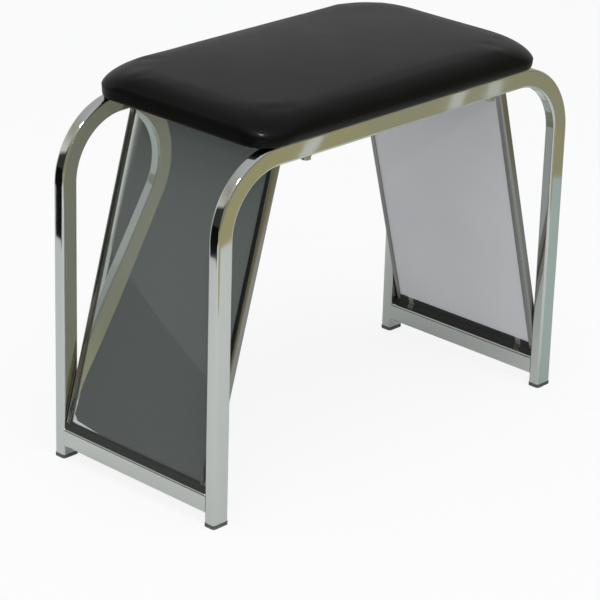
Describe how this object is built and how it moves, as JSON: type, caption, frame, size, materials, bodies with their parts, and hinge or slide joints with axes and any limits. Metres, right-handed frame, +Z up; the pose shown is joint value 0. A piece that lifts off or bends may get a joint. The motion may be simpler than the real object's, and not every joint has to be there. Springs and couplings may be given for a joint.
{
  "type": "shoe fitting stool",
  "caption": "Padded stool on bent chrome tube side frames, with a framed mirror sloping inwards at each end to show the shoes being tried on.",
  "frame": {"origin": "on the floor, under the middle of the stool", "axes": "+X along the seat, from the left mirror to the right one; +Y from the front side frame to the rear one; +Z up"},
  "size_m": [0.571, 0.28, 0.4519],
  "materials": {
    "chrome_tube": "polished chrome plate",
    "bright_trim": "bright folded strip",
    "mirror_glass": "silvered glass",
    "hardboard": "plain hardboard",
    "back_sheet": "satin pale grey",
    "black_plastic": "matt black",
    "foot_plastic": "matt dark grey",
    "vinyl": "black vinyl with a fine grain",
    "plywood": "raw plywood",
    "foam": "open foam",
    "dust_cloth": "thin woven black cloth",
    "zinc_steel": "zinc plated",
    "brass": "turned"
  },
  "bodies": {
    "root": {"front_side_frame": "chrome_tube", "rear_side_frame": "chrome_tube", "left_end_rail": "chrome_tube", "right_end_rail": "chrome_tube", "left_upper_rail": "chrome_tube", "right_upper_rail": "chrome_tube", "front_left_foot": "foot_plastic", "front_right_foot": "foot_plastic", "rear_left_foot": "foot_plastic", "rear_right_foot": "foot_plastic", "left_mirror_glass": "mirror_glass", "left_backing_board": "hardboard", "left_back_sheet": "back_sheet", "left_front_channel": "bright_trim", "left_rear_channel": "bright_trim", "left_sill": "black_plastic", "left_top_trim": "black_plastic", "left_sill_clips": "bright_trim", "left_sill_clip_screws": "zinc_steel", "left_top_clips": "bright_trim", "left_top_clip_screws": "zinc_steel", "right_mirror_glass": "mirror_glass", "right_backing_board": "hardboard", "right_back_sheet": "back_sheet", "right_front_channel": "bright_trim", "right_rear_channel": "bright_trim", "right_sill": "black_plastic", "right_top_trim": "black_plastic", "right_sill_clips": "bright_trim", "right_sill_clip_screws": "zinc_steel", "right_top_clips": "bright_trim", "right_top_clip_screws": "zinc_steel", "seat_board": "plywood", "seat_foam": "foam", "seat_cover": "vinyl", "dust_cloth": "dust_cloth", "seat_staples": "zinc_steel", "seat_inserts": "brass", "seat_screws": "zinc_steel", "seat_washers": "zinc_steel"}
  },
  "joints": []
}
